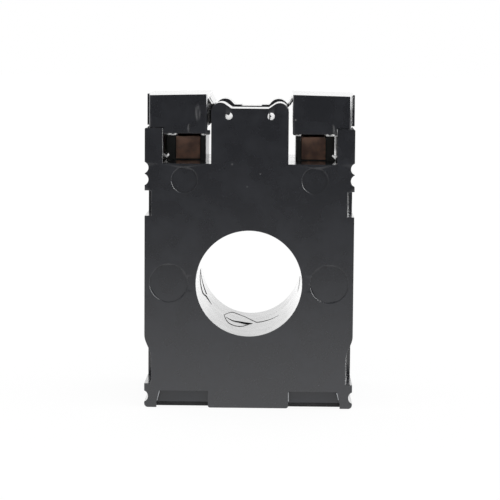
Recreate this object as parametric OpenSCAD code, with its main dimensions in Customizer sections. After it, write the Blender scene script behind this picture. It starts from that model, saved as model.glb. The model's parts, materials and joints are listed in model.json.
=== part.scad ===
// Moulded-case window current transformer.
// Frame: X across, Y through the window (rear face at -Y, terminal side at +Y), Z up.
// The origin is the middle of the footprint; lengths are in millimetres.

/* [Case] */
// Width of the case on each side of the window
side_w = 10.8; // [10:0.1:12]
// Depth of the case along the window
case_d = 37; // [36:0.5:50]
// Height of the floor of the terminal pockets
pocket_floor_z = 51.7; // [50.6:0.1:56]
// Height of the side arms above the pocket floor
arm_h = 7.4; // [6.8:0.1:10]
// Thickness of each side arm
arm_w = 3.75; // [2.5:0.05:4]
// Width of each terminal pocket, between its side arm and the tongue
pocket_w = 10.15; // [10:0.05:12]
// Wall of the moulded shells
wall = 1.6; // [1.2:0.1:1.8]
// Depth of the front shell
lid_depth = 10; // [8:0.5:12]
// How far the front shell stands proud of the rear shell at the sides
shell_lip = 0.25; // [0.1:0.05:0.3]
// Length of the overlap where the shells plug together
lap = 2; // [1:0.5:3]

/* [Window] */
// Diameter of the cable window
window_d = 22.4; // [20:0.1:25]
// Height of the window's axis
window_z = 26.5; // [25.5:0.1:28]
// Wall of the window tube
tube_wall = 1.3; // [1:0.1:1.3]

/* [Side recesses] */
// Radius of the grip grooves in the sides
groove_r = 1.27; // [0.8:0.01:1.4]
// Depth of the grip grooves
groove_depth = 0.8; // [0.4:0.02:1]
// Distance between the two upper grip grooves
groove_pitch = 2.5; // [2.2:0.1:4]
// Height of the groove beside each foot
foot_groove_z = 2.35; // [2:0.05:3.5]
// Depth of the side recesses at the rear face
recess_depth = 1.45; // [0.6:0.05:1.6]
// How much shallower the recesses are at their inner end
recess_draft = 0.7; // [0.1:0.1:1]
// How far the side recesses run from the rear face
recess_run = 13.5; // [8:0.5:18]
// Height of the upper recess
notch_h = 5.3; // [3:0.1:8]
// Height of the upper recess above the window axis
notch_rise = 14.2; // [12:0.1:16]
// Height of the lower edge of the long lower recess
scoop_z = 5.1; // [4:0.1:8]
// Height of the straight part of the long lower recess
scoop_h = 5.4; // [3:0.1:8]
// Height of the curved upper end of the long lower recess
scoop_curve = 5; // [3:0.1:7]

/* [Foot] */
// Width of the centre foot
tab_w = 17; // [10:0.1:22]
// Width of each corner foot
toe_w = 2.6; // [2:0.1:4]
// Height of the bracket slots between the feet
foot_slot_h = 3.6; // [2:0.1:4]
// Depth of the bracket slots
foot_slot_d = 2.4; // [2:0.1:6]

/* [Sealing tongue] */
// Height of the tongue above the pocket floor
tongue_h = 11.6; // [10.6:0.1:14]
// Radius of the round ears on top of the tongue
ear_r = 1.9; // [1.4:0.1:2.2]
// How far the ears stand above the tongue
ear_rise = 1.2; // [0.8:0.1:1.6]
// Diameter of the sealing wire holes
seal_hole_d = 1.5; // [1:0.1:2]
// Distance between the sealing wire holes
seal_hole_pitch = 8.8; // [5:0.1:10]

/* [Rear face marks] */
// Diameter of the upper ring marks
upper_mark_d = 5.6; // [3:0.1:6.4]
// Diameter of the lower ring marks
lower_mark_d = 8.2; // [4:0.1:8.6]
// Depth of the ring marks
mark_depth = 0.25; // [0.1:0.05:0.4]

/* [Terminal covers] */
// Height of the covers' top above the tongue
cover_rise = 2.9; // [2.4:0.1:6]
// Wall of the covers
cover_wall = 1.1; // [0.8:0.1:1.4]
// Gap between each cover and the tongue
cover_slot = 0.83; // [0.5:0.01:1.2]
// How far the rear wall of a cover hangs below its side walls
cover_skirt = 1.2; // [0.6:0.1:2]
// How far the covers' rear parts stand in from the case sides
cover_inset = 0.9; // [0.4:0.1:1.6]
// How far the covers' front parts stand out from the case sides
cover_grip = 0.33; // [0.28:0.01:0.6]
// Diameter of the wire entry in each cover
wire_entry_d = 5.2; // [4.6:0.1:5.6]

/* [Core and winding] */
// Wall of the core trays
tray_wall = 0.5; // [0.4:0.05:0.7]
// Thickness of the winding
winding_t = 0.8; // [0.6:0.05:0.9]
// Thickness of the foam rings at both ends of the winding
pad_t = 2; // [1:0.1:4]
// Thickness of the outer insulating band
band_t = 0.3; // [0.2:0.05:0.5]
// Number of wire bundles around the core
turns = 60; // [24:1:72]

/* [Terminals] */
// Width of the terminal straps
strap_w = 5.2; // [4:0.1:6]
// Thickness of the terminal straps
strap_t = 0.8; // [0.5:0.05:1.2]
// Depth from the rear face to the terminal straps
strap_depth = 14; // [13:0.5:16]
// Height of the strap tops above the pocket floor
strap_h = 5.1; // [4.6:0.1:6]
// Distance from the front face to the terminal screws
screw_setback = 13; // [12:0.5:14]
// Diameter of the terminal screws
screw_d = 4; // [3:0.1:4]
// Diameter of the screw heads
head_d = 6.6; // [6:0.1:6.8]
// Height of the screw heads
head_h = 2.6; // [1.6:0.1:2.8]
// Thickness of the clamp plates
clamp_t = 1.2; // [0.8:0.1:1.4]
// How far the ends of the clamp plates bend up
clamp_bend = 0.9; // [0.5:0.1:1.2]
// Radial width of the lock washers
washer_rim = 1.2; // [0.8:0.1:1.3]
// Width across the flats of the square nuts
nut_w = 5.8; // [5.4:0.1:6]
// Height of the square nuts
nut_h = 2.4; // [1.6:0.1:2.8]
// Diameter of the lead wires
lead_d = 1.2; // [0.8:0.1:1.6]

/* [Clearances] */
// Running clearance on a radius, for shafts in bores
run_fit = 0.05; // [0.02:0.01:0.1]
// Clearance between pieces that only sit in or on each other
seat_fit = 0.1; // [0.05:0.01:0.2]

/* [Hidden] */
$fn = 64;
EPS = 0.01;
LEFT = -1;
RIGHT = 1;

black = [0.075, 0.077, 0.085];
dark_grey = [0.12, 0.12, 0.13];
copper = [0.55, 0.32, 0.2];
zinc = [0.72, 0.73, 0.75];
steel_strip = [0.45, 0.46, 0.48];
enamel = [0.6, 0.3, 0.14];
tray_white = [0.85, 0.84, 0.8];
tape_yellow = [0.85, 0.72, 0.25];
foam_grey = [0.3, 0.3, 0.31];
lead_red = [0.6, 0.1, 0.08];

// Shells
rear_y = -case_d / 2;
front_y = case_d / 2;
seam_y = front_y - lid_depth;
recess_end_y = rear_y + recess_run;
half_w = window_d / 2 + side_w;
arm_top_z = pocket_floor_z + arm_h;
arm_corner_r = 0.3;
pocket_x = half_w - arm_w;
cavity_x = half_w - recess_depth - wall;
cavity_z0 = foot_slot_h + wall;
cavity_z1 = pocket_floor_z - wall;
window_r = window_d / 2;
tube_r = window_r + tube_wall;
lap_r = window_r + tube_wall / 2;
roof_rib_x = 12;
floor_rib_x1 = cavity_x - 2;
floor_rib_x0 = floor_rib_x1 - 5;
rib_t = 0.9;

// Sealing tongue
tongue_x = pocket_x - pocket_w;
tongue_top_z = pocket_floor_z + tongue_h;
ear_top_z = tongue_top_z + ear_rise;
rear_ear_flank = 35;
front_ear_flank = 50;
seal_hole_drop = 1.6;
seal_hole_z = tongue_top_z - seal_hole_drop;
tongue_t = 11;
tongue_step = 0.52;
front_ear_r = ear_r + 0.25;
front_ear_top_z = ear_top_z + 0.1;
front_notch = [4.4, 0.25];
tongue_cavity_z = seal_hole_z - seal_hole_d / 2 - wall;

// Side recesses and feet
groove_x = half_w - groove_depth + groove_r;
groove_top_z = pocket_floor_z - 0.9;
groove_zs = [groove_top_z, groove_top_z - groove_pitch, foot_groove_z];
notch_z = window_z + notch_rise;
scoop_steps = 12;
tab_x = tab_w / 2;
tab_r = 0.5;
toe_x = half_w - toe_w;
toe_bevel = 0.65;
toe_r = 0.8;

// Rear face marks
upper_mark_x = (tongue_x + pocket_x) / 2 + 0.5;
upper_mark_z = pocket_floor_z - 3.45;
lower_mark_x = (window_r + half_w) / 2 + 0.3;

// Terminals
base_x0 = tongue_x + 1.6;
base_x1 = pocket_x - 0.35;
strap_offset = 0.25;
terminal_x = (base_x0 + base_x1) / 2 - strap_offset;
strap_y = rear_y + strap_depth;
strap_top_z = pocket_floor_z + strap_h;
strap_foot_z = pocket_floor_z + 0.25;
tail_w = 2.4;
tail_y = front_y - lid_depth / 2;
tail_z = cavity_z1 - 1.5;
base_front_y = front_y - 1;
base_top_z = strap_top_z + 0.2;
base_chamfer = [0.9, 1.6];
ledge_x = tongue_x + 1.1;
screw_y = front_y - screw_setback;
screw_hole_r = screw_d / 2 + 0.25;
nut_top_z = strap_top_z - strap_t;
washer_r = screw_d / 2 + washer_rim;
washer_t = 0.9;
clamp_w = strap_w - 2 * seat_fit;
clamp_reach = washer_r + seat_fit + clamp_bend / 2;
clamp_z = strap_top_z;
washer_z = clamp_z + clamp_t;
head_z = washer_z + washer_t;
tip_z = pocket_floor_z + 1;

// Terminal covers
cover_y0 = rear_y + 0.6;
cover_y1 = front_y - 0.6;
cover_z0 = arm_top_z + seat_fit;
cover_top_z = tongue_top_z + cover_rise;
cover_slope = 0.3;
cover_corner_r = 0.4;
cover_x0 = tongue_x + cover_slot;
cover_x1 = half_w - cover_inset;
cover_x2 = half_w - 0.15;
cover_x3 = half_w + cover_grip;
cover_mid_x = (cover_x0 + cover_x1) / 2;
wire_entry_z = cover_z0 + 0.8;
vent_w = 0.2;
vent_h = 1.9;
vent_depth = 0.5;
vent_offset = 2.3;
lip_y0 = rear_y + 5;
lip_t = 0.3;

// Core and winding: inwards from the side walls, then outwards from the window tube
slip = seat_fit / 2;
band_r1 = cavity_x - 2 * seat_fit;
band_r0 = band_r1 - band_t;
winding_r1 = band_r0 - slip;
tray_r1 = winding_r1 - winding_t - slip;
core_r1 = tray_r1 - tray_wall - slip;
winding_r0 = tube_r + seat_fit;
tray_r0 = winding_r0 + winding_t + slip;
core_r0 = tray_r0 + tray_wall + slip;
pad_y = case_d / 2 - wall;
winding_y = pad_y - pad_t;
tray_y = winding_y - winding_t - slip;
core_y = tray_y - tray_wall - slip;
bundle_ridge = 0.35;

// ---------- helpers ----------

// An outline in X and Z, drawn out along Y from y0 to y1.
module slab(y0, y1)
    translate([0, y1, 0])
        rotate([90, 0, 0])
            linear_extrude(height = y1 - y0)
                children();

// A box from its lowest corner to its highest corner.
module span(low, high)
    translate(low)
        cube(high - low);

// The same shape on the right and mirrored on the left.
module both_sides() {
    children();
    mirror([1, 0, 0])
        children();
}

// A shape drawn on the right, kept there or mirrored to the left.
module on_side(side)
    if (side == RIGHT)
        children();
    else
        mirror([1, 0, 0])
            children();

// A rod along Y around the window's axis.
module window_rod(r, y0, y1)
    translate([0, y1, window_z])
        rotate([90, 0, 0])
            cylinder(h = y1 - y0, r = r);

// A ring around the window's axis.
module window_ring(r0, r1, y0, y1)
    difference() {
        window_rod(r1, y0, y1);
        window_rod(r0, y0 - 1, y1 + 1);
    }

// An upright rod.
module post(r, x, y, z0, z1)
    translate([x, y, z0])
        cylinder(h = z1 - z0, r = r);

// A round rod from point a to point b, with a slightly thicker ball at b to turn the corner.
module wire_run(a, b, r) {
    run = b - a;
    length = norm(run);
    translate(a)
        rotate([0, acos(run[2] / length), atan2(run[1], run[0])])
            cylinder(h = length, r = r, $fn = 24);
    translate(b)
        sphere(r = r + 0.03, $fn = 24);
}

// ---------- shell outlines, seen along Y ----------

// What a rounded corner takes off a square one; sz is 1 for a top corner, -1 for a bottom one.
module corner_waste(x, z, r, sz)
    difference() {
        translate([x - r, sz > 0 ? z - r : z - 1])
            square([r + 1, r + 1]);
        translate([x - r, z - sz * r])
            circle(r = r);
    }

// The top of the tongue with two ears of radius r up to top_z; flank is the slope inside each ear.
module ears_outline(r, top_z, flank) {
    ear_x = tongue_x - r;
    ear_z = top_z - r;
    flank_x = ear_x - r * sin(flank);
    flank_z = ear_z + r * cos(flank);
    foot_x = flank_x - (flank_z - tongue_top_z) / tan(flank);
    translate([-tongue_x, arm_top_z - 1])
        square([2 * tongue_x, ear_z - arm_top_z + 1]);
    polygon([
        [-ear_x, arm_top_z], [ear_x, arm_top_z], [ear_x, ear_z], [flank_x, flank_z], [foot_x, tongue_top_z],
        [-foot_x, tongue_top_z], [-flank_x, flank_z], [-ear_x, ear_z]
    ]);
    both_sides()
        translate([ear_x, ear_z])
            circle(r = r);
}

// Outline of either shell up to the arms' top; lip is how far it stands out at the sides.
module case_outline(lip)
    difference() {
        translate([-half_w - lip, 0])
            square([2 * (half_w + lip), arm_top_z]);
        both_sides() {
            translate([tongue_x, pocket_floor_z])
                square([pocket_x - tongue_x, arm_h + 1]);
            corner_waste(half_w + lip, arm_top_z, arm_corner_r, 1);
            corner_waste(half_w + lip, 0, toe_r, -1);
            for (z = groove_zs)
                translate([groove_x, z])
                    circle(r = groove_r);
        }
    }

// The long lower recess: a straight flank with an S-shaped run-out on top.
module scoop_outline() {
    top_z = scoop_z + scoop_h;
    polygon(concat(
        [[half_w + 1, scoop_z], [half_w - recess_depth, scoop_z]],
        [for (i = [0 : scoop_steps])
            let (t = i / scoop_steps)
            [half_w - recess_depth * (1 + cos(180 * t)) / 2, top_z + scoop_curve * t]],
        [[half_w + 1, top_z + scoop_curve]]
    ));
}

module foot_slot_outline()
    polygon([
        [tab_x, -1], [toe_x, -1], [toe_x, 1],
        [toe_x - toe_bevel, foot_slot_h], [tab_x, foot_slot_h]
    ]);

// ---------- cuts shared by the shells ----------

// The drafted floor of the side recesses, from z0 to z1.
module recess_wedge(z0, z1) {
    floor_x = half_w - recess_depth;
    translate([0, 0, z0])
        linear_extrude(height = z1 - z0)
            polygon([
                [floor_x, rear_y - 1], [half_w + 1, rear_y - 1], [half_w + 1, recess_end_y],
                [floor_x + recess_draft, recess_end_y], [floor_x, rear_y]
            ]);
}

module foot_slots(y0, y1)
    both_sides()
        slab(y0, y1) {
            foot_slot_outline();
            corner_waste(tab_x, 0, tab_r, -1);
        }

module seal_holes(y0, y1)
    both_sides()
        slab(y0, y1)
            translate([seal_hole_pitch / 2, seal_hole_z])
                circle(d = seal_hole_d, $fn = 32);

// The hollow of a shell between y0 and y1, also up inside the tongue.
module cavity(y0, y1) {
    span([-cavity_x, y0, cavity_z0], [cavity_x, y1, cavity_z1]);
    tongue_cavity_x = tongue_x - wall;
    span([-tongue_cavity_x, y0, cavity_z1 - 1], [tongue_cavity_x, y1, tongue_cavity_z]);
}

// ---------- shells ----------

module rear_shell()
    color(black)
        difference() {
            union() {
                difference() {
                    union() {
                        slab(rear_y, seam_y)
                            case_outline(0);
                        slab(rear_y, rear_y + tongue_t)
                            ears_outline(ear_r, ear_top_z, rear_ear_flank);
                        span([-tongue_x, rear_y + tongue_t - 1, arm_top_z - 1],
                             [tongue_x, seam_y, tongue_top_z - tongue_step]);
                    }
                    cavity(rear_y + wall, seam_y + 1);
                }
                window_rod(tube_r, rear_y + EPS, seam_y);
            }
            window_rod(window_r, rear_y - 1, seam_y + 1);
            window_ring(lap_r, tube_r + 1, seam_y - lap, seam_y + 1);
            both_sides() {
                recess_wedge(notch_z, notch_z + notch_h);
                intersection() {
                    recess_wedge(scoop_z - 1, scoop_z + scoop_h + scoop_curve + 1);
                    slab(rear_y - 1, recess_end_y)
                        scoop_outline();
                }
                slab(rear_y - 1, rear_y + mark_depth)
                    translate([upper_mark_x, upper_mark_z])
                        circle(d = upper_mark_d);
                slab(rear_y - 1, rear_y + mark_depth)
                    translate([lower_mark_x, window_z])
                        circle(d = lower_mark_d);
            }
            foot_slots(rear_y - 1, rear_y + foot_slot_d);
            seal_holes(rear_y - 1, seam_y + 1);
        }

// A rib from x0 to x1 that keys the front shell into the rear one; z is the wall it lies along.
module locating_rib(x0, x1, z, inward) {
    near = z + inward * seat_fit;
    far = near + inward * rib_t;
    foot = z - inward * EPS;
    span([x0, seam_y - lap, min(near, far)], [x1, seam_y + lap, max(near, far)]);
    span([x0, seam_y, min(foot, far)], [x1, seam_y + lap, max(foot, far)]);
}

module front_shell()
    color(black)
        difference() {
            union() {
                difference() {
                    union() {
                        slab(seam_y, front_y)
                            case_outline(shell_lip);
                        slab(seam_y, front_y)
                            difference() {
                                ears_outline(front_ear_r, front_ear_top_z, front_ear_flank);
                                translate([-front_notch[0] / 2, tongue_top_z - front_notch[1]])
                                    square([front_notch[0], 2 * front_notch[1]]);
                            }
                    }
                    cavity(seam_y - 1, front_y - wall);
                }
                window_rod(tube_r, seam_y - lap, front_y - EPS);
                locating_rib(-roof_rib_x, roof_rib_x, cavity_z1, -1);
                both_sides()
                    locating_rib(floor_rib_x0, floor_rib_x1, cavity_z0, 1);
            }
            window_rod(window_r, seam_y - lap - 1, front_y + 1);
            window_rod(lap_r + slip, seam_y - lap - 1, seam_y);
            foot_slots(front_y - foot_slot_d, front_y + 1);
            seal_holes(seam_y - 1, front_y + 1);
            both_sides()
                span([terminal_x - tail_w / 2 - seat_fit, tail_y - strap_t - seat_fit, cavity_z1 - 1],
                     [terminal_x + tail_w / 2 + seat_fit, tail_y + seat_fit, pocket_floor_z + 1]);
        }

// ---------- core and winding ----------

module core()
    color(steel_strip)
        window_ring(core_r0, core_r1, -core_y, core_y);

// Half of the core's plastic box, from the middle plane to its closed end at y_end.
module core_tray(y_end) {
    inner = y_end - sign(y_end) * tray_wall;
    color(tray_white)
        difference() {
            window_ring(tray_r0, tray_r1, min(0, y_end), max(0, y_end));
            window_ring(core_r0 - slip, core_r1 + slip,
                        min(-sign(y_end), inner), max(-sign(y_end), inner));
        }
}

module core_tray_rear() core_tray(-tray_y);
module core_tray_front() core_tray(tray_y);

// Outline of the winding at one edge: the radius swings by one ridge for each bundle.
module bundle_outline(r_mid)
    polygon([
        for (i = [0 : 4 * turns - 1])
            let (a = 90 * i / turns, r = r_mid + (i % 4 < 2 ? 1 : -1) * bundle_ridge / 2)
            [r * cos(a), r * sin(a)]
    ]);

module secondary_winding()
    color(enamel)
        difference() {
            slab(-winding_y, winding_y)
                translate([0, window_z])
                    difference() {
                        bundle_outline(winding_r1 - bundle_ridge / 2);
                        bundle_outline(winding_r0 + bundle_ridge / 2);
                    }
            window_ring(tray_r0 - slip, tray_r1 + slip, -tray_y - slip, tray_y + slip);
        }

module winding_band()
    color(tape_yellow)
        window_ring(band_r0, band_r1, -winding_y, winding_y);

module foam_ring(y0, y1)
    color(foam_grey)
        window_ring(winding_r0, winding_r1, y0, y1);

module foam_ring_rear() foam_ring(-pad_y, -winding_y);
module foam_ring_front() foam_ring(winding_y, pad_y);

// A lead from the winding's rim up to the tail of its terminal strap.
module lead(side) {
    r = lead_d / 2;
    y = tail_y - strap_t - r;
    start_angle = 62;
    start_r = band_r1 + r;
    route = [
        [start_r * cos(start_angle), y, window_z + start_r * sin(start_angle)],
        [terminal_x - 2, y, cavity_z1 - 4.6],
        [terminal_x, y, cavity_z1 - 2],
        [terminal_x, y, cavity_z1 - r]
    ];
    color(lead_red)
        on_side(side) {
            for (i = [1 : len(route) - 1])
                wire_run(route[i - 1], route[i], r);
        }
}

module lead_left() lead(LEFT);
module lead_right() lead(RIGHT);

// ---------- terminals ----------

// Section of a base across its length: side rails, and a chamfer at the outer foot.
module base_outline() {
    channel_x = strap_w / 2 + seat_fit;
    difference() {
        polygon([
            [base_x0, pocket_floor_z], [base_x1 - base_chamfer[0], pocket_floor_z],
            [base_x1, pocket_floor_z + base_chamfer[1]], [base_x1, base_top_z], [base_x0, base_top_z]
        ]);
        translate([terminal_x - channel_x, nut_top_z])
            square([2 * channel_x, strap_h]);
    }
}

module terminal_base(side) {
    leg_x = strap_w / 2 + seat_fit;
    nut_x = nut_w / 2 + seat_fit;
    color(dark_grey)
        on_side(side)
            difference() {
                union() {
                    slab(strap_y, base_front_y)
                        base_outline();
                    span([ledge_x, seam_y - 3, base_top_z - 0.3], [base_x0 + 1, seam_y, base_top_z + 0.3]);
                }
                span([terminal_x - leg_x, strap_y - 1, strap_foot_z - seat_fit],
                     [terminal_x + leg_x, strap_y + strap_t + seat_fit, base_top_z + 1]);
                span([terminal_x - nut_x, screw_y - nut_x, nut_top_z - nut_h - seat_fit],
                     [terminal_x + nut_x, screw_y + nut_x, base_top_z + 1]);
                post(screw_hole_r, terminal_x, screw_y, tip_z - 0.4, base_top_z + 1);
                span([terminal_x - tail_w / 2 - seat_fit, tail_y - strap_t - seat_fit, pocket_floor_z - 1],
                     [terminal_x + tail_w / 2 + seat_fit, tail_y + seat_fit, base_top_z + 1]);
            }
}

module terminal_base_left() terminal_base(LEFT);
module terminal_base_right() terminal_base(RIGHT);

// The copper strap: a leg seen in the rear pocket, the clamping top and a solder tail.
module terminal_strap(side)
    color(copper)
        on_side(side)
            difference() {
                union() {
                    span([terminal_x - strap_w / 2, strap_y, strap_foot_z],
                         [terminal_x + strap_w / 2, strap_y + strap_t, strap_top_z]);
                    span([terminal_x - strap_w / 2, strap_y, nut_top_z],
                         [terminal_x + strap_w / 2, tail_y, strap_top_z]);
                    span([terminal_x - tail_w / 2, tail_y - strap_t, tail_z],
                         [terminal_x + tail_w / 2, tail_y, strap_top_z]);
                }
                post(screw_hole_r, terminal_x, screw_y, nut_top_z - 1, strap_top_z + 1);
            }

module terminal_strap_left() terminal_strap(LEFT);
module terminal_strap_right() terminal_strap(RIGHT);

module terminal_nut(side)
    color(zinc)
        on_side(side)
            difference() {
                span([terminal_x - nut_w / 2, screw_y - nut_w / 2, nut_top_z - nut_h],
                     [terminal_x + nut_w / 2, screw_y + nut_w / 2, nut_top_z]);
                post(screw_d / 2 + run_fit, terminal_x, screw_y, nut_top_z - nut_h - 1, nut_top_z + 1);
            }

module terminal_nut_left() terminal_nut(LEFT);
module terminal_nut_right() terminal_nut(RIGHT);

// The clamp plate, bent up at both ends so that a wire slides in below it.
module clamp_plate(side) {
    top_reach = clamp_reach - clamp_bend / 2;
    end_reach = clamp_reach + clamp_bend;
    end_z = clamp_t + clamp_bend;
    color(zinc)
        on_side(side)
            difference() {
                translate([terminal_x - clamp_w / 2, screw_y, clamp_z])
                    rotate([90, 0, 90])
                        linear_extrude(height = clamp_w)
                            polygon([
                                [-clamp_reach, 0], [clamp_reach, 0],
                                [end_reach, clamp_bend], [end_reach, end_z],
                                [top_reach, clamp_t], [-top_reach, clamp_t],
                                [-end_reach, end_z], [-end_reach, clamp_bend]
                            ]);
                post(screw_d / 2 + run_fit, terminal_x, screw_y, clamp_z - 1, clamp_z + end_z + 1);
            }
}

module clamp_plate_left() clamp_plate(LEFT);
module clamp_plate_right() clamp_plate(RIGHT);

module lock_washer(side) {
    split_w = 0.7;
    color(zinc)
        on_side(side)
            difference() {
                post(washer_r, terminal_x, screw_y, washer_z, washer_z + washer_t);
                post(screw_d / 2 + run_fit, terminal_x, screw_y, washer_z - 1, washer_z + washer_t + 1);
                span([terminal_x, screw_y - split_w / 2, washer_z - 1],
                     [terminal_x + washer_r + 1, screw_y + split_w / 2, washer_z + washer_t + 1]);
            }
}

module lock_washer_left() lock_washer(LEFT);
module lock_washer_right() lock_washer(RIGHT);

// A pan-head screw with a slot and a cross for either driver.
module terminal_screw(side) {
    head_r = head_d / 2;
    slot_w = 1;
    slot_depth = 1.2;
    cross_l = 3.6;
    edge = 0.5;
    color(zinc)
        on_side(side)
            translate([terminal_x, screw_y, 0])
                difference() {
                    rotate_extrude()
                        polygon([
                            [0, tip_z], [screw_d / 2 - edge, tip_z], [screw_d / 2, tip_z + edge],
                            [screw_d / 2, head_z], [head_r, head_z], [head_r, head_z + head_h - edge],
                            [head_r - edge, head_z + head_h], [0, head_z + head_h]
                        ]);
                    translate([0, 0, head_z + head_h]) {
                        cube([head_d + 1, slot_w, 2 * slot_depth], center = true);
                        cube([slot_w, cross_l, 3 * slot_depth], center = true);
                    }
                }
}

module terminal_screw_left() terminal_screw(LEFT);
module terminal_screw_right() terminal_screw(RIGHT);

// ---------- terminal covers ----------

// Plan of a cover: its rear part stands in, its front part steps out as a finger grip.
module cover_plan(inset)
    polygon([
        [cover_x0 + inset, cover_y0 + inset], [cover_x1 - inset, cover_y0 + inset],
        [cover_x2 - inset, recess_end_y + inset], [cover_x3 - inset, recess_end_y + inset],
        [cover_x3 - inset, cover_y1 - inset], [cover_x0 + inset, cover_y1 - inset]
    ]);

// What the round corner of a cover beside the tongue takes off its plan.
module cover_corner()
    mirror([1, 0])
        corner_waste(-cover_x0, cover_y0, cover_corner_r, -1);

module terminal_cover(side) {
    roof_z = cover_top_z - cover_slope - cover_wall;
    vent_x = cover_mid_x + side * vent_offset;
    color(black)
        on_side(side)
            difference() {
                union() {
                    intersection() {
                        translate([0, 0, cover_z0])
                            linear_extrude(height = cover_top_z - cover_z0)
                                difference() {
                                    cover_plan(0);
                                    corner_waste(cover_x1, cover_y0, cover_corner_r, -1);
                                    cover_corner();
                                }
                        slab(cover_y0, cover_y1)
                            polygon([
                                [cover_x0, cover_z0], [cover_x3, cover_z0],
                                [cover_x3, cover_top_z - cover_slope], [cover_x0, cover_top_z]
                            ]);
                    }
                    translate([0, 0, cover_z0 - cover_skirt])
                        linear_extrude(height = cover_skirt + 1)
                            difference() {
                                translate([cover_x0, cover_y0])
                                    square([pocket_x - seat_fit - cover_x0, cover_wall]);
                                cover_corner();
                            }
                    slab(lip_y0, cover_y1)
                        polygon([
                            [cover_x0 + lip_t, cover_top_z - 0.4], [cover_x0 - 0.85, ear_top_z - 0.5],
                            [cover_x0 - 0.85 + lip_t, ear_top_z - 0.65], [cover_x0 + lip_t, cover_top_z - 1]
                        ]);
                }
                translate([0, 0, cover_z0 - cover_skirt - 1])
                    linear_extrude(height = roof_z - cover_z0 + cover_skirt + 1)
                        cover_plan(cover_wall);
                span([vent_x - vent_w / 2, cover_y0 - 1, cover_z0 - cover_skirt - 1],
                     [vent_x + vent_w / 2, cover_y0 + vent_depth, cover_z0 - cover_skirt + vent_h]);
                slab(cover_y1 - cover_wall - 1, cover_y1 + 1) {
                    translate([terminal_x, wire_entry_z])
                        circle(d = wire_entry_d);
                    translate([terminal_x - wire_entry_d / 2, cover_z0 - 1])
                        square([wire_entry_d, wire_entry_z - cover_z0 + 1]);
                }
            }
}

module terminal_cover_left() terminal_cover(LEFT);
module terminal_cover_right() terminal_cover(RIGHT);

// ---------- what is drawn ----------

rear_shell();
front_shell();
core();
core_tray_rear();
core_tray_front();
secondary_winding();
winding_band();
foam_ring_rear();
foam_ring_front();
lead_left();
lead_right();
terminal_base_left();
terminal_base_right();
terminal_strap_left();
terminal_strap_right();
terminal_nut_left();
terminal_nut_right();
clamp_plate_left();
clamp_plate_right();
lock_washer_left();
lock_washer_right();
terminal_screw_left();
terminal_screw_right();
terminal_cover_left();
terminal_cover_right();
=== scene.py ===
"""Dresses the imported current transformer: moulded plastics and metals, softened edges, mould
lines in the cable window, small ribs and beads, a white studio and the camera."""

import json
import math

import bmesh
import bpy
from mathutils import Matrix, Vector

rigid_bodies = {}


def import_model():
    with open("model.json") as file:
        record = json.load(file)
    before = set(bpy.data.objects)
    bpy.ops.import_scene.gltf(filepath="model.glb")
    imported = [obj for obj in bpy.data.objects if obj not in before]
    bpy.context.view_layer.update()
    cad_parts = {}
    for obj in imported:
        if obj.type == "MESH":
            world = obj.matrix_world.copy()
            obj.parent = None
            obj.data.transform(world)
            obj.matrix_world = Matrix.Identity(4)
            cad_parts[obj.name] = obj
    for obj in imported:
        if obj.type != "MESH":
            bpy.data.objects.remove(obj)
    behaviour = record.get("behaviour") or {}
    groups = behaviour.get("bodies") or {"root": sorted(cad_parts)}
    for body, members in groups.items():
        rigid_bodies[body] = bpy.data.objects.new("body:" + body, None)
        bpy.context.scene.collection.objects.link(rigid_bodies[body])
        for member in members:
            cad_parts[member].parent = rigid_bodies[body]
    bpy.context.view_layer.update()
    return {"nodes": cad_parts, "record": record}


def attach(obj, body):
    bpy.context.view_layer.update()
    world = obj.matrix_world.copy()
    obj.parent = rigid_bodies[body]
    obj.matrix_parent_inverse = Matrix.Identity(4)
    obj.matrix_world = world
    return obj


MM = 0.001

# Camera: place in metres, angles in degrees, focal length in millimetres
CAMERA_AT = (0.00614, -0.4339, 0.0771)
CAMERA_YAW = -0.82
CAMERA_PITCH = 5.97
CAMERA_ROLL = 0.44
CAMERA_LENS = 143.2
SENSOR = 36

WHITE = (1, 1, 1, 1)
SIDES = (("left", -1), ("right", 1))


# ---------- nodes ----------


def add(tree, kind, inputs=None, **properties):
    """A new node of this kind, with its properties and its unlinked inputs set."""
    node = tree.nodes.new(kind)
    for name, value in properties.items():
        setattr(node, name, value)
    for name, value in (inputs or {}).items():
        node.inputs[name].default_value = value
    return node


def calculate(tree, operation, a, b=0.0):
    """A Math node's output; a and b are sockets or numbers."""
    node = add(tree, "ShaderNodeMath", operation=operation)
    for socket, value in zip(node.inputs, (a, b)):
        if isinstance(value, (int, float)):
            socket.default_value = value
        else:
            tree.links.new(value, socket)
    return node.outputs[0]


def remap(tree, value, low, high, to_low, to_high):
    """value from low..high to to_low..to_high, smoothly and clamped."""
    node = add(
        tree,
        "ShaderNodeMapRange",
        {1: low, 2: high, 3: to_low, 4: to_high},
        interpolation_type="SMOOTHSTEP",
    )
    tree.links.new(value, node.inputs[0])
    return node.outputs[0]


def noise(tree, coordinates, scale, detail=2.0, stretch=(1, 1, 1)):
    """Noise with this many features a metre, stretched along the axes."""
    mapping = add(tree, "ShaderNodeMapping", {"Scale": stretch})
    tree.links.new(coordinates, mapping.inputs["Vector"])
    node = add(tree, "ShaderNodeTexNoise", {"Scale": scale, "Detail": detail})
    tree.links.new(mapping.outputs[0], node.inputs["Vector"])
    return node.outputs["Fac"]


def blend_colours(tree, share, a, b):
    """Colour a where share is 0 and b where it is 1; a may be a socket."""
    node = add(tree, "ShaderNodeMix", data_type="RGBA")
    tree.links.new(share, node.inputs[0])
    for socket, value in ((node.inputs[6], a), (node.inputs[7], b)):
        if isinstance(value, tuple):
            socket.default_value = (*value, 1)
        else:
            tree.links.new(value, socket)
    return node.outputs[2]


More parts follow.
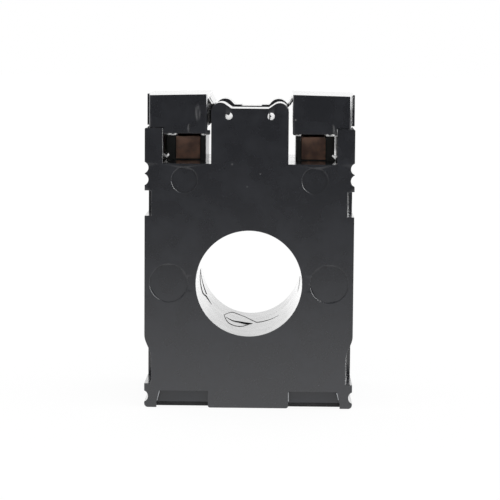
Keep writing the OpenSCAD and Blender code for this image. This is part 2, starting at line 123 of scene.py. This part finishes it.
def bump(tree, height, depth, normal=None):
    """A bump of this depth in metres, on top of an earlier bump's normal."""
    node = add(tree, "ShaderNodeBump", {"Strength": 1, "Distance": depth})
    tree.links.new(height, node.inputs["Height"])
    if normal:
        tree.links.new(normal, node.inputs["Normal"])
    return node.outputs[0]


def new_material(name):
    """(material, its node tree, its Principled shader, object coordinates)"""
    material = bpy.data.materials.new(name)
    material.use_nodes = True
    tree = material.node_tree
    coordinates = add(tree, "ShaderNodeTexCoord").outputs["Object"]
    return material, tree, tree.nodes["Principled BSDF"], coordinates


def mix_shaders(tree, share, a, b):
    """Shader a where share is 0 and b where it is 1."""
    node = add(tree, "ShaderNodeMixShader")
    for socket, source in zip(node.inputs, (share, a.outputs[0], b.outputs[0])):
        tree.links.new(source, socket)
    return node


def mix_by_ray(tree, plain, mirrored, seen):
    """Shader seen for the camera, mirrored in reflections and plain for all other light."""
    rays = add(tree, "ShaderNodeLightPath")
    lit = mix_shaders(tree, rays.outputs["Is Glossy Ray"], plain, mirrored)
    return mix_shaders(tree, rays.outputs["Is Camera Ray"], lit, seen)


# ---------- materials ----------

# Dust, rub marks and painted highlights on the plastics, the depths of their grain and flow marks
# in metres, and their gloss
SPECK_COLOUR = (0.3, 0.3, 0.29)
SCUFF_AND_HIGHLIGHT_COLOUR = (0.09, 0.091, 0.096)
GRAIN_DEPTH = 0.002 * MM
WAVE_DEPTH = 0.008 * MM
PLASTIC_IOR = 1.5
COAT_ROUGHNESS = 0.1


def scuffs_and_highlights(tree, at, spots):
    """Rub marks and painted highlights on a rear face: 1 in their streaky middles, 0 outside them.
    Each spot is the centre in X and Z and the half size in X and Z, in millimetres."""
    place = add(tree, "ShaderNodeSeparateXYZ")
    tree.links.new(at, place.inputs[0])
    rear = calculate(tree, "LESS_THAN", place.outputs["Y"], 0)
    marks = 0
    for x, z, half_x, half_z in spots:
        steps = []
        for axis, middle, half in (("X", x, half_x), ("Z", z, half_z)):
            step = calculate(tree, "SUBTRACT", place.outputs[axis], middle * MM)
            step = calculate(tree, "ABSOLUTE", calculate(tree, "DIVIDE", step, half * MM))
            steps.append(calculate(tree, "POWER", step, 2))
        oval = remap(tree, calculate(tree, "ADD", *steps), 0.2, 1, 1, 0)
        marks = calculate(tree, "MAXIMUM", marks, calculate(tree, "MULTIPLY", oval, rear))
    streaks = remap(tree, noise(tree, at, 1500, 2, (1, 1, 0.25)), 0.4, 0.6, 0.25, 1)
    return calculate(tree, "MULTIPLY", marks, streaks)


def moulded_plastic(name, colour, roughness, coat, dust, rubs_and_highlights=()):
    """Injection-moulded plastic: fine grain, slightly uneven gloss, flow marks and a few dust
    specks. dust is how strongly the specks show; the last lists rub marks and painted highlights."""
    material, tree, shader, at = new_material(name)
    grain = noise(tree, at, 2600, 3)
    waves = noise(tree, at, 55, 2, (1, 1, 0.6))
    gloss = noise(tree, at, 240, 4)

    cells = add(tree, "ShaderNodeTexVoronoi", {"Scale": 210, "Randomness": 1})
    tree.links.new(at, cells.inputs["Vector"])
    pick = add(tree, "ShaderNodeSeparateColor")
    tree.links.new(cells.outputs["Color"], pick.inputs[0])
    chosen = calculate(tree, "GREATER_THAN", pick.outputs[0], 0.94)
    near = remap(tree, cells.outputs["Distance"], 0.02, 0.05, dust, 0)
    specks = calculate(tree, "MULTIPLY", chosen, near)

    paler = tuple(1.35 * c for c in colour)
    base = blend_colours(tree, remap(tree, gloss, 0.35, 0.7, 0, 1), colour, paler)
    base = blend_colours(tree, specks, base, SPECK_COLOUR)
    # Rub marks on the case, and pale patches that paint highlights on the covers
    if rubs_and_highlights:
        base = blend_colours(tree, scuffs_and_highlights(tree, at, rubs_and_highlights), base, SCUFF_AND_HIGHLIGHT_COLOUR)
    tree.links.new(base, shader.inputs["Base Color"])
    tree.links.new(
        remap(tree, gloss, 0.3, 0.7, roughness - 0.03, roughness + 0.04),
        shader.inputs["Roughness"],
    )
    tree.links.new(
        bump(tree, grain, GRAIN_DEPTH, bump(tree, waves, WAVE_DEPTH)),
        shader.inputs["Normal"],
    )
    shader.inputs["IOR"].default_value = PLASTIC_IOR
    shader.inputs["Coat Weight"].default_value = coat
    shader.inputs["Coat Roughness"].default_value = COAT_ROUGHNESS
    shader.inputs["Coat IOR"].default_value = PLASTIC_IOR
    return material


def tarnished_copper(name):
    """Copper strip with drawing lines across it and brown patches of tarnish."""
    material, tree, shader, at = new_material(name)
    lines = noise(tree, at, 900, 3, (0.08, 1, 1))
    patches = noise(tree, at, 420, 4)
    colour = blend_colours(
        tree, remap(tree, patches, 0.35, 0.65, 0, 1), (0.72, 0.44, 0.33), (0.48, 0.31, 0.25)
    )
    tree.links.new(colour, shader.inputs["Base Color"])
    tree.links.new(remap(tree, patches, 0.3, 0.7, 0.38, 0.55), shader.inputs["Roughness"])
    tree.links.new(bump(tree, lines, 0.01 * MM), shader.inputs["Normal"])
    shader.inputs["Metallic"].default_value = 0.7
    return material


def plated_steel(name):
    """Zinc-plated steel with fine turning lines and a faint clouding."""
    material, tree, shader, at = new_material(name)
    lines = noise(tree, at, 1500, 2, (0.15, 1, 1))
    clouds = noise(tree, at, 500, 3)
    colour = blend_colours(
        tree, remap(tree, clouds, 0.35, 0.7, 0, 1), (0.66, 0.67, 0.69), (0.5, 0.52, 0.56)
    )
    tree.links.new(colour, shader.inputs["Base Color"])
    tree.links.new(remap(tree, clouds, 0.3, 0.7, 0.24, 0.36), shader.inputs["Roughness"])
    tree.links.new(bump(tree, lines, 0.004 * MM), shader.inputs["Normal"])
    shader.inputs["Metallic"].default_value = 1
    return material


def wound(name, colour, darker, pitch, stretch, metallic, roughness):
    """Layers of strip or wire: fine lines across the stretch direction, this far apart."""
    material, tree, shader, at = new_material(name)
    lines = noise(tree, at, 1 / pitch, 1, stretch)
    tree.links.new(
        blend_colours(tree, remap(tree, lines, 0.35, 0.65, 0, 1), colour, darker),
        shader.inputs["Base Color"],
    )
    tree.links.new(bump(tree, lines, 0.1 * pitch), shader.inputs["Normal"])
    shader.inputs["Metallic"].default_value = metallic
    shader.inputs["Roughness"].default_value = roughness
    return material


def soft_material(name, colour, grain_size, depth, roughness):
    """Foam, tape or insulation with a grain of this size."""
    material, tree, shader, at = new_material(name)
    grain = noise(tree, at, 1 / grain_size, 3)
    darker = tuple(0.7 * c for c in colour)
    tree.links.new(
        blend_colours(tree, remap(tree, grain, 0.3, 0.7, 0, 1), darker, colour),
        shader.inputs["Base Color"],
    )
    tree.links.new(bump(tree, grain, depth), shader.inputs["Normal"])
    shader.inputs["Roughness"].default_value = roughness
    return material


# Painted highlights on the covers, a soft sheen on the left one and a pale line along each vent,
# and three knocks on the case; each is its centre and its half size, across and up, in millimetres
COVER_HIGHLIGHTS = [(-10.95, 62.4, 0.7, 2.1), (-12.88, 59.1, 0.25, 1.1), (17.48, 59.1, 0.25, 1.1)]
CASE_RUBS = [(-3.66, 51.64, 0.25, 0.25), (2.2, 49.67, 0.3, 0.2), (-0.5, 46.95, 0.25, 0.25)]


def make_materials():
    """One material for each of the record's slots, and three more: dull flash, also used as painted
    shade; pale grey that paints highlights; and painted shade for the foot slots' backs."""
    return {
        "case_plastic": moulded_plastic(
            "moulded_case_black", (0.0138, 0.015, 0.0195), 0.28, 0.9, 0.5, CASE_RUBS
        ),
        "cover_plastic": moulded_plastic(
            "moulded_cover_black", (0.0135, 0.0147, 0.019), 0.28, 0.9, 0.5, COVER_HIGHLIGHTS
        ),
        "base_plastic": moulded_plastic("moulded_base_black", (0.048, 0.052, 0.049), 0.4, 0.5, 0.2),
        # Dull black: the mould lines' flash, and also painted shade on the left arm and low in the
        # foot slots
        "flash_and_shade": moulded_plastic("flash_and_painted_shade_black", (0.008, 0.008, 0.009), 0.6, 0, 0),
        # Pale grey for beads that paint highlights along the foot slots' edges
        "glint_paint": moulded_plastic("painted_highlight_grey", (0.4, 0.41, 0.43), 0.4, 0.3, 0),
        # Painted shade on the backs of the foot slots
        "recess": moulded_plastic("moulded_recess_black", (0.0105, 0.0125, 0.019), 0.33, 0.6, 0),
        "copper": tarnished_copper("tarnished_copper"),
        "zinc_steel": plated_steel("zinc_plated_steel"),
        "core_steel": wound(
            "core_strip_steel", (0.42, 0.43, 0.45), (0.25, 0.26, 0.28),
            0.25 * MM, (1, 0.02, 1), 1, 0.35,
        ),
        "winding_copper": wound(
            "enamelled_wire", (0.55, 0.24, 0.1), (0.32, 0.12, 0.05),
            0.3 * MM, (1, 0.05, 1), 0.6, 0.3,
        ),
        "band_tape": soft_material("polyester_tape", (0.8, 0.62, 0.16), 0.8 * MM, 0.01 * MM, 0.35),
        "tray_plastic": soft_material("tray_white", (0.8, 0.79, 0.74), 0.5 * MM, 0.005 * MM, 0.5),
        "foam": soft_material("foam_grey", (0.12, 0.12, 0.125), 0.35 * MM, 0.08 * MM, 0.9),
        "lead_insulation": soft_material("lead_red", (0.5, 0.05, 0.04), 0.6 * MM, 0.005 * MM, 0.45),
    }


# ---------- the CAD nodes ----------

# Width of the softened edges of the nodes that show, by a word of their names, in millimetres
EDGE_WIDTHS = {
    "shell": 0.06,
    "cover": 0.06,
    "base": 0.05,
    "strap": 0.05,
    "clamp": 0.1,
    "washer": 0.06,
    "screw": 0.06,
}

# Points nearer than this are one point, and edges sharper than this many degrees are softened
SAME_POINT = 0.001 * MM
SHARP_ANGLE = 35


def soften_edges(node, width):
    """Rounds the node's sharp edges by modifiers, so that they catch the light; the width is in
    millimetres."""
    weld = node.modifiers.new("weld", "WELD")
    weld.merge_threshold = SAME_POINT
    rounding = node.modifiers.new("rounding", "BEVEL")
    rounding.width = width * MM
    rounding.segments = 3
    rounding.limit_method = "ANGLE"
    rounding.angle_limit = math.radians(SHARP_ANGLE)
    rounding.use_clamp_overlap = False
    rounding.loop_slide = False
    rounding.face_strength_mode = "FSTR_ALL"
    normals = node.modifiers.new("normals", "WEIGHTED_NORMAL")
    normals.keep_sharp = False
    normals.use_face_influence = True


def dress_nodes(frame, materials):
    """Gives each CAD node its slot's material, and the ones that show softened edges."""
    slots = {part["node"]: part["material_slot"] for part in frame["record"]["subparts"]}
    for name, node in frame["nodes"].items():
        node.data.materials.clear()
        node.data.materials.append(materials[slots[name]])
        for key, width in EDGE_WIDTHS.items():
            if key in name:
                soften_edges(node, width)


# ---------- added pieces ----------


def add_piece(name, data, material, body, edge=0):
    """A visible piece of this material that rides a body, with its edges softened by this width
    in millimetres."""
    data.materials.append(material)
    piece = bpy.data.objects.new(name, data)
    bpy.context.scene.collection.objects.link(piece)
    if edge:
        soften_edges(piece, edge)
    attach(piece, body)


def tube(name, path, radius, resolution, closed, material):
    """A round tube on the case through this path of places in metres and shares of the radius."""
    curve = bpy.data.curves.new(name, "CURVE")
    curve.dimensions = "3D"
    curve.bevel_depth = radius
    curve.bevel_resolution = resolution
    curve.use_fill_caps = True
    spline = curve.splines.new("POLY")
    spline.points.add(len(path) - 1)
    for point, (place, share) in zip(spline.points, path):
        point.co = (*place, 1)
        point.radius = share
    spline.use_cyclic_u = closed
    add_piece(name, curve, material, "root")


# ---------- mould lines in the cable window ----------

# How much wider the lines are drawn than listed, and the steps between two listed points
LINE_GAIN = 1.35
LINE_STEPS = 12

# Points of each line: angle from the bottom of the window, towards +X, in degrees; depth along Y
# from the middle of the case in millimetres; and half the line's width in millimetres
MOULD_LINES = {
    "mould_line_left": [
        (-90, 8.2, 0.05), (-81, 2.6, 0.07), (-68, -0.6, 0.1), (-60, 3.2, 0.12), (-49, 2.9, 0.03),
    ],
    "mould_line_left_inner": [(-88, 8.6, 0.04), (-76, 9.2, 0.06), (-61, 6.6, 0.1)],
    "mould_flash_upper": [
        (-31, 2.9, 0.06), (-26, 9.5, 0.06), (-20, 13.6, 0.07), (-6.5, 11.2, 0.06), (7.5, 2.4, 0.08),
    ],
    "mould_flash_lower": [(-31, 2.9, 0.06), (-24, -5, 0.07), (-11, -5.2, 0.07), (-1, -0.4, 0.06)],
    "mould_flash_gap": [
        (-28, 1.6, 0.04), (-20, 0.6, 0.1), (-11, 1.4, 0.15), (-3, 0.7, 0.2), (3, 1, 0.05),
    ],
    "mould_line_middle": [(7.5, 2.2, 0.07), (20, 1.5, 0.06), (35, 0.5, 0.02)],
    "mould_line_right": [(81, 10.4, 0.04), (75, 4, 0.05), (69, 0.4, 0.02)],
}


def on_window_wall(centre, radius, angle, depth):
    """The point on the window's wall at this angle and depth."""
    turn = math.radians(angle)
    return Vector((
        centre.x + radius * math.sin(turn),
        centre.y + depth * MM,
        centre.z - radius * math.cos(turn),
    ))


def between(p, q, r, s, t):
    """The value at t of 0..1 from q to r on a Catmull-Rom curve through p, q, r and s."""
    square = 2 * p - 5 * q + 4 * r - s
    cube = 3 * q - p - 3 * r + s
    return 0.5 * (2 * q + (r - p) * t + square * t * t + cube * t**3)


def smooth_path(points, steps):
    """Points on a Catmull-Rom curve through the given ones, as tuples of the same length."""
    ends = [points[0], *points, points[-1]]
    path = []
    for a, b, c, d in zip(ends, ends[1:], ends[2:], ends[3:]):
        for i in range(steps):
            path.append(tuple(between(p, q, r, s, i / steps) for p, q, r, s in zip(a, b, c, d)))
    return [*path, tuple(points[-1])]


def mould_line(name, points, centre, radius, material):
    """A fine raised round line on the window's wall, half sunk into it."""
    path = [
        (on_window_wall(centre, radius, angle, depth), LINE_GAIN * half_width)
        for angle, depth, half_width in smooth_path(points, LINE_STEPS)
    ]
    tube(name, path, MM, 2, False, material)


def make_mould_lines(frame, material):
    """The mould lines, on the window that the record names."""
    window = next(m for m in frame["record"]["mounts"] if m["name"] == "cable_window")
    centre, radius = Vector(window["pos_m"]), window["dims"]["r_mm"] * MM
    for name, points in MOULD_LINES.items():
        mould_line(name, points, centre, radius, material)


# ---------- small moulded details ----------

# The rear face along Y, the corners of a ring and the radii of the beads, in millimetres
REAR_Y = -18.5
RING_CORNERS = 96
RING_BEAD = 0.09
EDGE_BEAD = 0.13

# Centre and radius of each ring mark on the rear face, in millimetres
RING_MARKS = {
    "mark_rim_upper_left": (-13.675, 48.25, 2.8),
    "mark_rim_upper_right": (13.675, 48.25, 2.8),
    "mark_rim_lower_left": (-16.9, 26.5, 4.1),
    "mark_rim_lower_right": (16.9, 26.5, 4.1),
}

# Pale beads that paint highlights along edges of the foot slots, on the rear face, in millimetres
SLOT_GLINTS = {
    "slot_glint_left": [(-19.34, 1.5), (-18.8, 3.55)],
    "slot_glint_middle": [(8.52, 1.5), (8.52, 3.4)],
    "slot_glint_right": [(19.22, 1.9), (18.8, 3.4)],
}


def bead(name, points, radius, closed, material):
    """A fine round bead through these points of the rear face, flush with it; in millimetres."""
    path = [((x * MM, (REAR_Y + radius) * MM, z * MM), 1) for x, z in points]
    tube(name, path, radius * MM, 3, closed, material)


def make_beads(material, glint_paint):
    """Beads round the ring marks, and pale ones that paint highlights along the slot edges."""
    turns = [2 * math.pi * i / RING_CORNERS for i in range(RING_CORNERS)]
    for name, (x, z, radius) in RING_MARKS.items():
        ring = [(x + radius * math.cos(turn), z + radius * math.sin(turn)) for turn in turns]
        bead(name, ring, RING_BEAD, True, material)
    # Painted highlights along the edges of the foot slots
    for name, points in SLOT_GLINTS.items():
        bead(name, points, EDGE_BEAD, False, glint_paint)


# Width of the ribs' softened edges, in millimetres
RIB_EDGE = 0.05


def rib(name, outline, ends, body, material):
    """A small rib with softened edges, from its outline in X and Z and its ends along Y, in
    millimetres."""
    y0, y1 = ends
    mesh = bpy.data.meshes.new(name)
    shape = bmesh.new()
    face = shape.faces.new([shape.verts.new((x * MM, y0 * MM, z * MM)) for x, z in outline])
    drawn = bmesh.ops.extrude_face_region(shape, geom=[face])
    corners = [v for v in drawn["geom"] if isinstance(v, bmesh.types.BMVert)]
    bmesh.ops.translate(shape, verts=corners, vec=(0, (y1 - y0) * MM, 0))
    bmesh.ops.recalc_face_normals(shape, faces=shape.faces)
    shape.to_mesh(mesh)
    shape.free()
    add_piece(name, mesh, material, body, RIB_EDGE)


def on_side(side, outline):
    """This outline on the right, or mirrored on the left."""
    return [(side * x, z) for x, z in outline]


# Ends along Y of the ribs, in millimetres
HEM_ENDS = (-17.85, -17.2)
SCRAP_ENDS = (-18.3, -17.7)
ARM_SHADE_ENDS = (-18.4, -1.6)
LIP_ENDS = (-7.1, 8.2)
GUIDE_ENDS = (9, 17.4)
BASE_ENDS = (-4.4, -2)
PANEL_ENDS = (-16.3, -16)

# Outlines in X and Z, in millimetres; those of pieces that both sides have are of the right one
COVER_LIP = [(8.75, 65.3), (7.7, 63.45), (8.05, 63.3), (9.1, 64.9)]
COVER_GUIDE_LEFT = [(-9, 58.5), (-8.2, 58.7), (-8.2, 64), (-9, 64.6)]
BASE_FOOT = [(16.9, 51.72), (18.2, 51.72), (18.2, 52.05), (17.1, 53.15), (16.8, 53)]
BASE_RIBS = {
    "left": [(-18.22, 52.65), (-17.1, 53.75), (-17.1, 57), (-18.22, 57)],
    "right": [(18.06, 52.65), (17.1, 53.75), (17.1, 57), (18.06, 57)],
}

# Hems under the covers, scraps of flash in the sealing holes and a dark sheet of painted shade on
# the left arm's inner wall: body, slot, material, ends and outline
SCRAPS = {
    "hem_left_outer": (
        "cover_left", "cover_plastic", "cover_plastic", HEM_ENDS,
        [
            (-18.16, 57.75), (-17.25, 57.75), (-17.25, 58.4),
            (-18, 58.4), (-18, 59.4), (-18.16, 59.4),
        ],
    ),
    "hem_left_inner": (
        "cover_left", "cover_plastic", "cover_plastic", HEM_ENDS,
        [(-16.4, 57.8), (-15.9, 57.8), (-15.9, 58.4), (-16.4, 58.4)],
    ),
    "hook_left": (
        "cover_left", "cover_plastic", "cover_plastic", HEM_ENDS,
        [(-9.4, 58), (-8.35, 58), (-8.35, 58.7), (-9.4, 58.75)],
    ),
    "hem_right_outer": (
        "cover_right", "cover_plastic", "cover_plastic", HEM_ENDS,
        [(17.75, 57.75), (18.22, 57.75), (18.22, 59.4), (18, 59.4), (18, 58.4), (17.75, 58.4)],
    ),
    "hem_right_inner": (
        "cover_right", "cover_plastic", "cover_plastic", HEM_ENDS,
        [(16.4, 57.8), (17, 57.8), (17, 58.4), (16.4, 58.4)],
    ),
    # Painted shade: a dark dull sheet over the left arm's inner wall
    "arm_liner_left": (
        "root", "case_plastic", "flash_and_shade", ARM_SHADE_ENDS,
        [(-18.6, 53.6), (-18.2, 53.6), (-18.2, 59), (-18.6, 59)],
    ),
    "seal_scrap_left": (
        "root", "case_plastic", "case_plastic", SCRAP_ENDS,
        [(-5, 62.6), (-5.05, 62.1), (-4.5, 61.85), (-4.2, 62.1), (-4.15, 62.6)],
    ),
    "seal_scrap_right": (
        "root", "case_plastic", "case_plastic", SCRAP_ENDS,
        [(4, 62.6), (4, 60.9), (4.2, 60.9), (4.22, 61.5), (4.5, 61.7), (4.22, 61.9), (4.2, 62.6)],
    ),
}

# Dark panels of painted shade on the backs of the foot slots, darker towards the bottom: name,
# material and outline
SLOT_SHADE_PANELS = [
    ("recess_upper", "recess", [(8.3, 0.85), (19.7, 0.85), (18.9, 3.8), (8.3, 3.8)]),
    ("recess_lower", "flash_and_shade", [(8.3, 0.02), (19.7, 0.02), (19.7, 0.85), (8.3, 0.85)]),
]


def make_ribs(materials):
    """The lips that close the covers down to the tongue, a guide on the left cover, the hems,
    scraps and painted-shade liner, the painted-shade panels of the foot slots, and the bases' ribs
    and feet."""
    cover = materials["cover_plastic"]
    for name, side in SIDES:
        lip = on_side(side, COVER_LIP)
        rib(f"cover_lip_{name}", lip, LIP_ENDS, f"cover_{name}", cover)
    rib("cover_guide_left", COVER_GUIDE_LEFT, GUIDE_ENDS, "cover_left", cover)
    for name, (body, slot, finish, ends, outline) in SCRAPS.items():
        rib(name, outline, ends, body, materials[finish])
    # Painted shade: dark panels on the backs of the foot slots, darker still towards the bottom
    for name, side in SIDES:
        for part, finish, outline in SLOT_SHADE_PANELS:
            panel = on_side(side, outline)
            rib(f"{part}_{name}", panel, PANEL_ENDS, "root", materials[finish])
    base = materials["base_plastic"]
    for name, side in SIDES:
        rib(f"base_rib_{name}", BASE_RIBS[name], BASE_ENDS, "root", base)
        foot = on_side(side, BASE_FOOT)
        rib(f"base_foot_{name}", foot, BASE_ENDS, "root", base)


# ---------- studio ----------

# The room in reflections: its strengths behind the camera and behind the object, and where the
# one gives way to the other along Y
ROOM_STRENGTHS = (0.12, 1.12)
ROOM_TURN = (-0.75, 0.05)

# The soft box on the right, seen in reflections only: its middle and the cosines of its edge
KEY_DIRECTION = (0.86, -0.1, 0.5)
KEY_STRENGTH = 13
KEY_EDGE = (0.78, 0.94)

# The table: its half size, and how far it lies below the object, in metres
TABLE_HALF = 4.0
TABLE_GAP = 0.01 * MM

# Its light in reflections halves at this distance before the object, and is raised behind it
POOL_REACH = 0.25
POOL_TURN = (-0.02, 0.06)
POOL_RISE = 1.25

# To the camera it glows, and only this share of its white takes shadows
TABLE_GLOW = 0.91
TABLE_SHADE = (0.1, 0.1, 0.1, 1)

# In the light that it throws on the object it is matte
TABLE_MATTE = (0.8, 0.8, 0.8, 1)


def make_world():
    """A white backdrop. Its reflection is white behind and beside the object, has a soft box on
    the right and falls off to a dim room behind the camera; the light that it sheds is plain and
    even."""
    world = bpy.data.worlds.new("studio")
    bpy.context.scene.world = world
    world.use_nodes = True
    tree = world.node_tree
    tree.nodes.clear()
    direction = add(tree, "ShaderNodeTexCoord").outputs["Generated"]
    split = add(tree, "ShaderNodeSeparateXYZ")
    tree.links.new(direction, split.inputs[0])
    room = remap(tree, split.outputs["Y"], *ROOM_TURN, *ROOM_STRENGTHS)
    towards = add(tree, "ShaderNodeVectorMath", {1: KEY_DIRECTION}, operation="DOT_PRODUCT")
    tree.links.new(direction, towards.inputs[0])
    key = remap(tree, towards.outputs["Value"], *KEY_EDGE, 0, KEY_STRENGTH)
    mirrored = add(tree, "ShaderNodeBackground", {"Color": WHITE})
    tree.links.new(calculate(tree, "ADD", room, key), mirrored.inputs["Strength"])
    plain = add(tree, "ShaderNodeBackground", {"Color": WHITE, "Strength": 1.0})
    out = add(tree, "ShaderNodeOutputWorld")
    shader = mix_by_ray(tree, plain, mirrored, plain)
    tree.links.new(shader.outputs[0], out.inputs["Surface"])


def pool_strength(tree, y):
    """The strength of the table's light in reflections, by the place along Y."""
    share = calculate(tree, "DIVIDE", calculate(tree, "MINIMUM", y, 0.0), POOL_REACH)
    away = calculate(tree, "ADD", 1.0, calculate(tree, "POWER", share, 2))
    fall = calculate(tree, "DIVIDE", 1.0, away)
    return calculate(tree, "MULTIPLY", fall, remap(tree, y, *POOL_TURN, 1, POOL_RISE))


def table_material():
    """White with a faint shadow to the camera, and a pool of light in reflections."""
    material = bpy.data.materials.new("table")
    material.use_nodes = True
    tree = material.node_tree
    tree.nodes.clear()
    at = add(tree, "ShaderNodeTexCoord").outputs["Object"]
    place = add(tree, "ShaderNodeSeparateXYZ")
    tree.links.new(at, place.inputs[0])

    matte = add(tree, "ShaderNodeBsdfDiffuse", {"Color": TABLE_MATTE})
    pool = add(tree, "ShaderNodeEmission", {"Color": WHITE})
    tree.links.new(pool_strength(tree, place.outputs["Y"]), pool.inputs["Strength"])
    shadowed = add(tree, "ShaderNodeBsdfDiffuse", {"Color": TABLE_SHADE})
    glow = add(tree, "ShaderNodeEmission", {"Color": WHITE, "Strength": TABLE_GLOW})
    seen = add(tree, "ShaderNodeAddShader")
    tree.links.new(shadowed.outputs[0], seen.inputs[0])
    tree.links.new(glow.outputs[0], seen.inputs[1])
    out = add(tree, "ShaderNodeOutputMaterial")
    shader = mix_by_ray(tree, matte, pool, seen)
    tree.links.new(shader.outputs[0], out.inputs["Surface"])
    return material


def make_floor():
    """A white table just below the object."""
    half = TABLE_HALF
    corners = [(-half, -half, 0), (half, -half, 0), (half, half, 0), (-half, half, 0)]
    mesh = bpy.data.meshes.new("floor")
    mesh.from_pydata(corners, [], [(0, 1, 2, 3)])
    mesh.materials.append(table_material())
    floor = bpy.data.objects.new("floor", mesh)
    bpy.context.scene.collection.objects.link(floor)
    floor.location.z = -TABLE_GAP


def make_camera():
    """The camera at the object's rear face, a little above it and nearly square to it."""
    yaw, pitch, roll = (math.radians(a) for a in (CAMERA_YAW, CAMERA_PITCH, CAMERA_ROLL))
    ahead = Vector((
        math.sin(yaw) * math.cos(pitch), math.cos(yaw) * math.cos(pitch), -math.sin(pitch)
    ))
    right = Vector((math.cos(yaw), -math.sin(yaw), 0))
    up = right.cross(ahead)
    turned_right = math.cos(roll) * right + math.sin(roll) * up
    turned_up = math.cos(roll) * up - math.sin(roll) * right
    data = bpy.data.cameras.new("camera")
    data.lens = CAMERA_LENS
    data.sensor_width = SENSOR
    camera = bpy.data.objects.new("camera", data)
    bpy.context.scene.collection.objects.link(camera)
    turn = Matrix((turned_right, turned_up, -ahead)).transposed()
    camera.matrix_world = Matrix.Translation(CAMERA_AT) @ turn.to_4x4()
    bpy.context.scene.camera = camera


# ---------- main ----------

for leftover in list(bpy.data.objects):
    bpy.data.objects.remove(leftover)
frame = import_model()

bpy.context.scene.view_settings.view_transform = "Standard"
make_camera()
make_world()
make_floor()
materials = make_materials()
dress_nodes(frame, materials)
make_mould_lines(frame, materials["flash_and_shade"])
make_beads(materials["case_plastic"], materials["glint_paint"])
make_ribs(materials)
